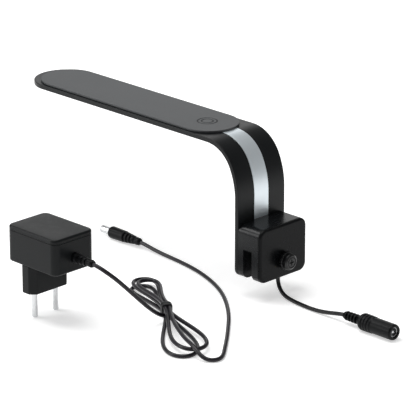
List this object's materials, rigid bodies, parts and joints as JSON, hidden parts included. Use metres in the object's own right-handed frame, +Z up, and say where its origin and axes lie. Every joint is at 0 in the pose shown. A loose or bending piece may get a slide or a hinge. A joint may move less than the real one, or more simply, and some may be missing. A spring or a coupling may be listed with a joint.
{
  "type": "clip-on tank light",
  "caption": "Flat bent-arm lamp with a rim clamp, thumbscrew, short socket lead and a plug-in mains adapter on a tied cord.",
  "frame": {"origin": "middle of the clamp slot's ceiling, where the tank's glass edge seats", "axes": "+X out of the tank towards the clamp screw, the head reaches towards -X, +Z up"},
  "size_m": [0.353, 0.179, 0.1104],
  "materials": {
    "arm_black": "satin moulded shell",
    "cover_graphite": "fine matt coating",
    "trim_silver": "satin brushed",
    "clamp_black": "satin moulded",
    "knob_black": "satin moulded",
    "soft_rubber": "matt",
    "mould_black": "soft moulded vinyl",
    "cord_black": "smooth vinyl sheath",
    "case_black": "satin moulded",
    "tie_black": "plastic covered wire",
    "pin_nickel": "polished",
    "contact_metal": "plain",
    "screw_steel": "zinc plated",
    "insert_brass": "machined",
    "insert_white": "moulded",
    "board_green": "solder mask",
    "board_white": "white solder mask",
    "led_yellow": "phosphor dome",
    "window_frost": "frosted",
    "ribbon_amber": "polyimide film",
    "wire_red": "vinyl insulation",
    "part_black": "moulded case",
    "ferrite_tape": "yellow tape on dark core"
  },
  "bodies": {
    "lamp": {"arm_shell": "arm_black", "head_cover": "cover_graphite", "touch_board": "board_green", "touch_spring": "contact_metal", "trim_strip": "trim_silver", "flex_lead": "ribbon_amber", "led_board": "board_white", "led_chips": "led_yellow", "lens": "window_frost", "clamp_block": "clamp_black", "front_plate": "clamp_black", "threaded_insert": "insert_brass", "jaw_facing": "soft_rubber", "control_board": "board_green", "board_parts": "part_black", "supply_wires": "wire_red", "lead_grommet": "soft_rubber", "lead_cord": "cord_black", "socket_body": "mould_black", "socket_contact": "contact_metal", "socket_pin": "contact_metal"},
    "pad": {"pressure_pad": "clamp_black", "pad_facing": "soft_rubber"},
    "screw": {"clamp_screw": "screw_steel", "screw_knob": "knob_black"},
    "adapter": {"case_tub": "case_black", "case_lid": "case_black", "plug_block": "case_black", "mains_pins": "pin_nickel", "adapter_board": "board_green", "transformer": "ferrite_tape", "capacitors": "part_black", "cord_relief": "mould_black", "adapter_cord": "cord_black", "cord_hank": "cord_black", "cord_tie": "tie_black", "plug_cord": "cord_black", "plug_body": "mould_black", "plug_barrel": "pin_nickel", "plug_insert": "insert_white"}
  },
  "joints": [
    {"name": "pad_slide", "type": "slide", "parent": "lamp", "child": "pad", "axis": [-1, 0, 0], "range_m": [-0.00391, 0.00151]},
    {"name": "screw_turn", "type": "hinge", "parent": "pad", "child": "screw", "pos_m": [0, 0, -0.009], "axis": [-1, 0, 0], "range_deg": [-1755, 675]},
    {"name": "adapter_lift", "type": "slide", "parent": "lamp", "child": "adapter", "axis": [0, 0, 1], "range_m": [0, 0.05]}
  ],
  "couplings": [
    {"joint": "pad_slide", "follows": "screw_turn", "m_per_rad": 0.00012732}
  ]
}
